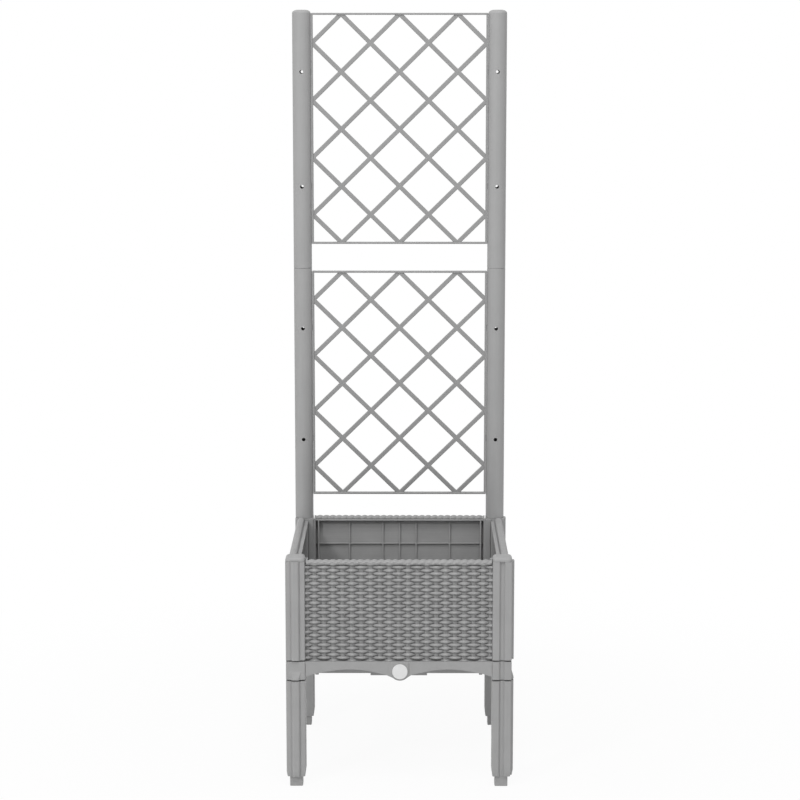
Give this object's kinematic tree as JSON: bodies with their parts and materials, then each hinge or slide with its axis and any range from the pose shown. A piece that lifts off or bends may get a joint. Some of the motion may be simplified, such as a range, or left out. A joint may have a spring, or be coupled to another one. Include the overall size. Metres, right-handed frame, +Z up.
{
  "type": "raised planter with trellis",
  "caption": "Square raised planter box on legs, with woven-look side panels, a front drain plug and a tall diagonal lattice trellis on round poles.",
  "frame": {"origin": "on the ground, under the middle of the bounding box", "axes": "+Z up, the height; the front with the drain plug faces -Y and the trellis stands at +Y; +X is to the right seen from the front"},
  "size_m": [0.4, 0.404, 1.36],
  "materials": {
    "planter_plastic": "light grey moulded polypropylene, satin, faintly grained",
    "trellis_plastic": "light grey moulded polypropylene, satin, smooth",
    "plug_plastic": "white moulded polyethylene, satin",
    "seal_rubber": "black, matt"
  },
  "bodies": {
    "planter": {"base_tray": "planter_plastic", "front_left_leg": "planter_plastic", "front_right_leg": "planter_plastic", "rear_left_leg": "planter_plastic", "rear_right_leg": "planter_plastic", "front_left_post": "planter_plastic", "front_right_post": "planter_plastic", "rear_left_post": "planter_plastic", "rear_right_post": "planter_plastic", "front_left_post_cap": "planter_plastic", "front_right_post_cap": "planter_plastic", "front_panel": "planter_plastic", "right_panel": "planter_plastic", "rear_panel": "planter_plastic", "left_panel": "planter_plastic", "left_lower_pole": "trellis_plastic", "left_upper_pole": "trellis_plastic", "right_lower_pole": "trellis_plastic", "right_upper_pole": "trellis_plastic", "lower_lattice": "trellis_plastic", "upper_lattice": "trellis_plastic"},
    "plug": {"drain_plug": "plug_plastic", "drain_plug_seal": "seal_rubber"}
  },
  "joints": [
    {"name": "drain_plug_pull", "type": "slide", "parent": "planter", "child": "plug", "axis": [0, -1, 0], "range_m": [0, 0.04]}
  ]
}
